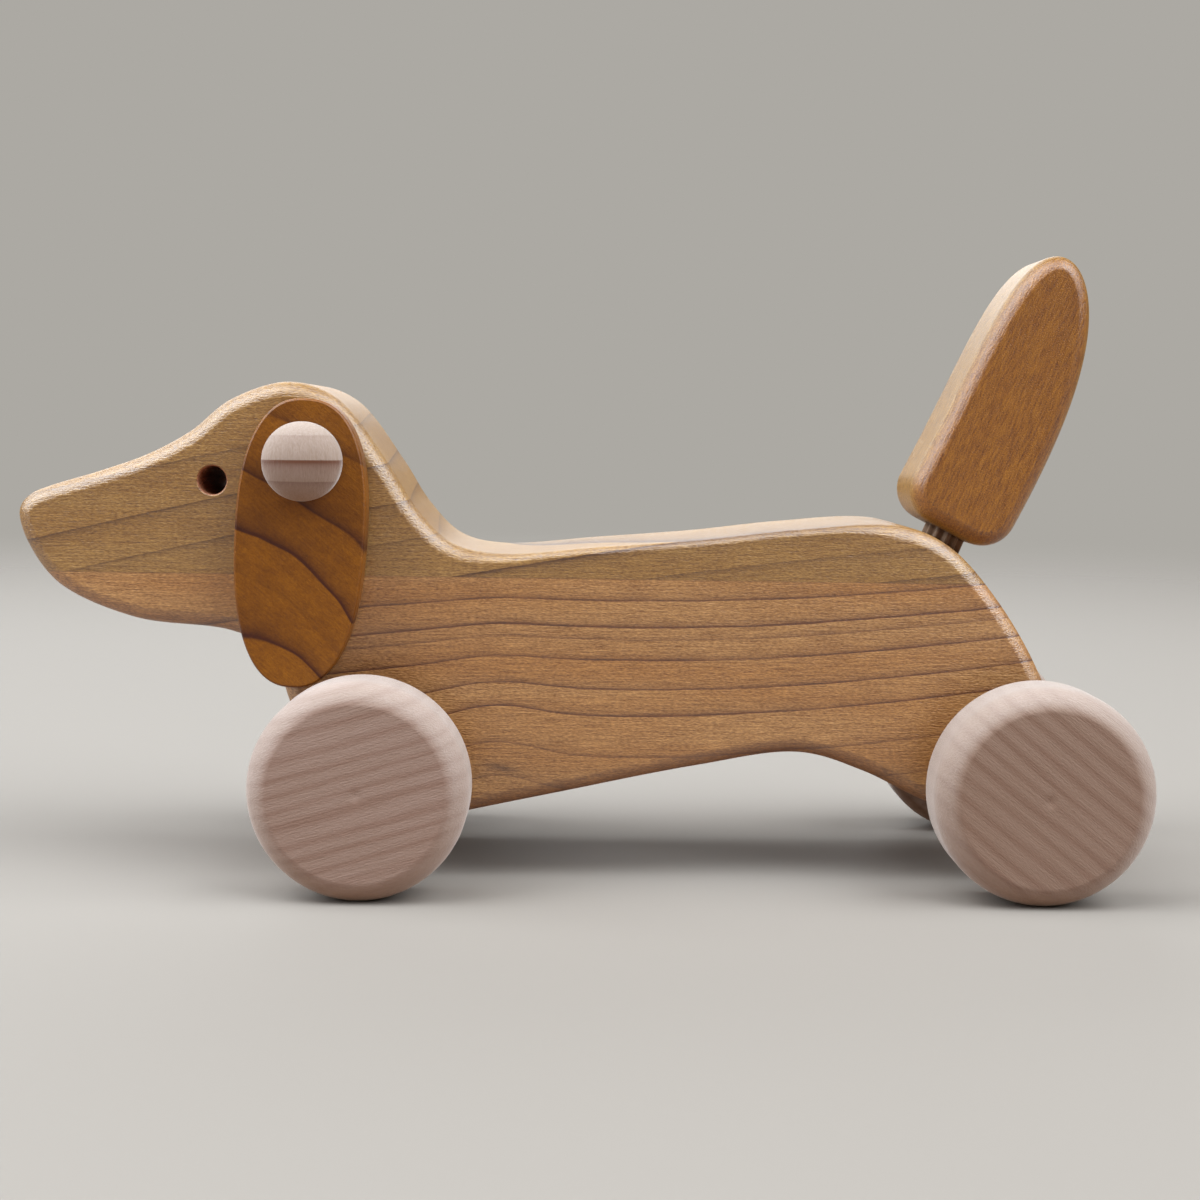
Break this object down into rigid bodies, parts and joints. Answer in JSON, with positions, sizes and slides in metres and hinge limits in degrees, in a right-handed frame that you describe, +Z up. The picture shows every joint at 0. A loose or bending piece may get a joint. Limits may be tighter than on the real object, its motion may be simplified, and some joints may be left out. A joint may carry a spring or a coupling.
{
  "type": "wooden rolling dog toy",
  "caption": "Wooden dachshund toy that rolls: a board body with rounded edges on wheels glued to dowel axles, ears hung on domed pegs and a tail that turns on a fluted dowel.",
  "frame": {"origin": "on the floor, under the middle of the toy's length and width", "axes": "+Z up, -X towards the nose, -Y towards the dog's left side"},
  "size_m": [0.1986, 0.078, 0.1124],
  "materials": {
    "body_wood": "oiled cherry, fine horizontal grain",
    "ear_wood": "oiled dark cherry, diagonal grain",
    "tail_wood": "oiled reddish cherry, smooth",
    "wheel_wood": "raw sanded beech",
    "peg_wood": "raw sanded beech",
    "axle_wood": "raw beech dowel",
    "dowel_wood": "raw fluted beech dowel"
  },
  "bodies": {
    "chassis": {"body": "body_wood", "left_ear_peg": "peg_wood", "right_ear_peg": "peg_wood", "tail_dowel": "dowel_wood"},
    "front_wheelset": {"front_axle": "axle_wood", "front_left_wheel": "wheel_wood", "front_right_wheel": "wheel_wood"},
    "rear_wheelset": {"rear_axle": "axle_wood", "rear_left_wheel": "wheel_wood", "rear_right_wheel": "wheel_wood"},
    "left_ear": {"left_ear": "ear_wood"},
    "right_ear": {"right_ear": "ear_wood"},
    "tail": {"tail": "tail_wood"}
  },
  "joints": [
    {"name": "front_wheels_roll", "type": "hinge", "parent": "chassis", "child": "front_wheelset", "pos_m": [-0.03695, 0, 0.019], "axis": [0, 1, 0], "continuous": true},
    {"name": "rear_wheels_roll", "type": "hinge", "parent": "chassis", "child": "rear_wheelset", "pos_m": [0.08035, 0, 0.019], "axis": [0, 1, 0], "continuous": true},
    {"name": "left_ear_swing", "type": "hinge", "parent": "chassis", "child": "left_ear", "pos_m": [-0.04755, -0.02105, 0.0747], "axis": [0, 1, 0], "continuous": true},
    {"name": "right_ear_swing", "type": "hinge", "parent": "chassis", "child": "right_ear", "pos_m": [-0.04755, 0.02105, 0.0747], "axis": [0, 1, 0], "continuous": true},
    {"name": "tail_turn", "type": "hinge", "parent": "chassis", "child": "tail", "pos_m": [0.06755, 0, 0.0597], "axis": [0.3867, 0, 0.9222], "continuous": true}
  ]
}
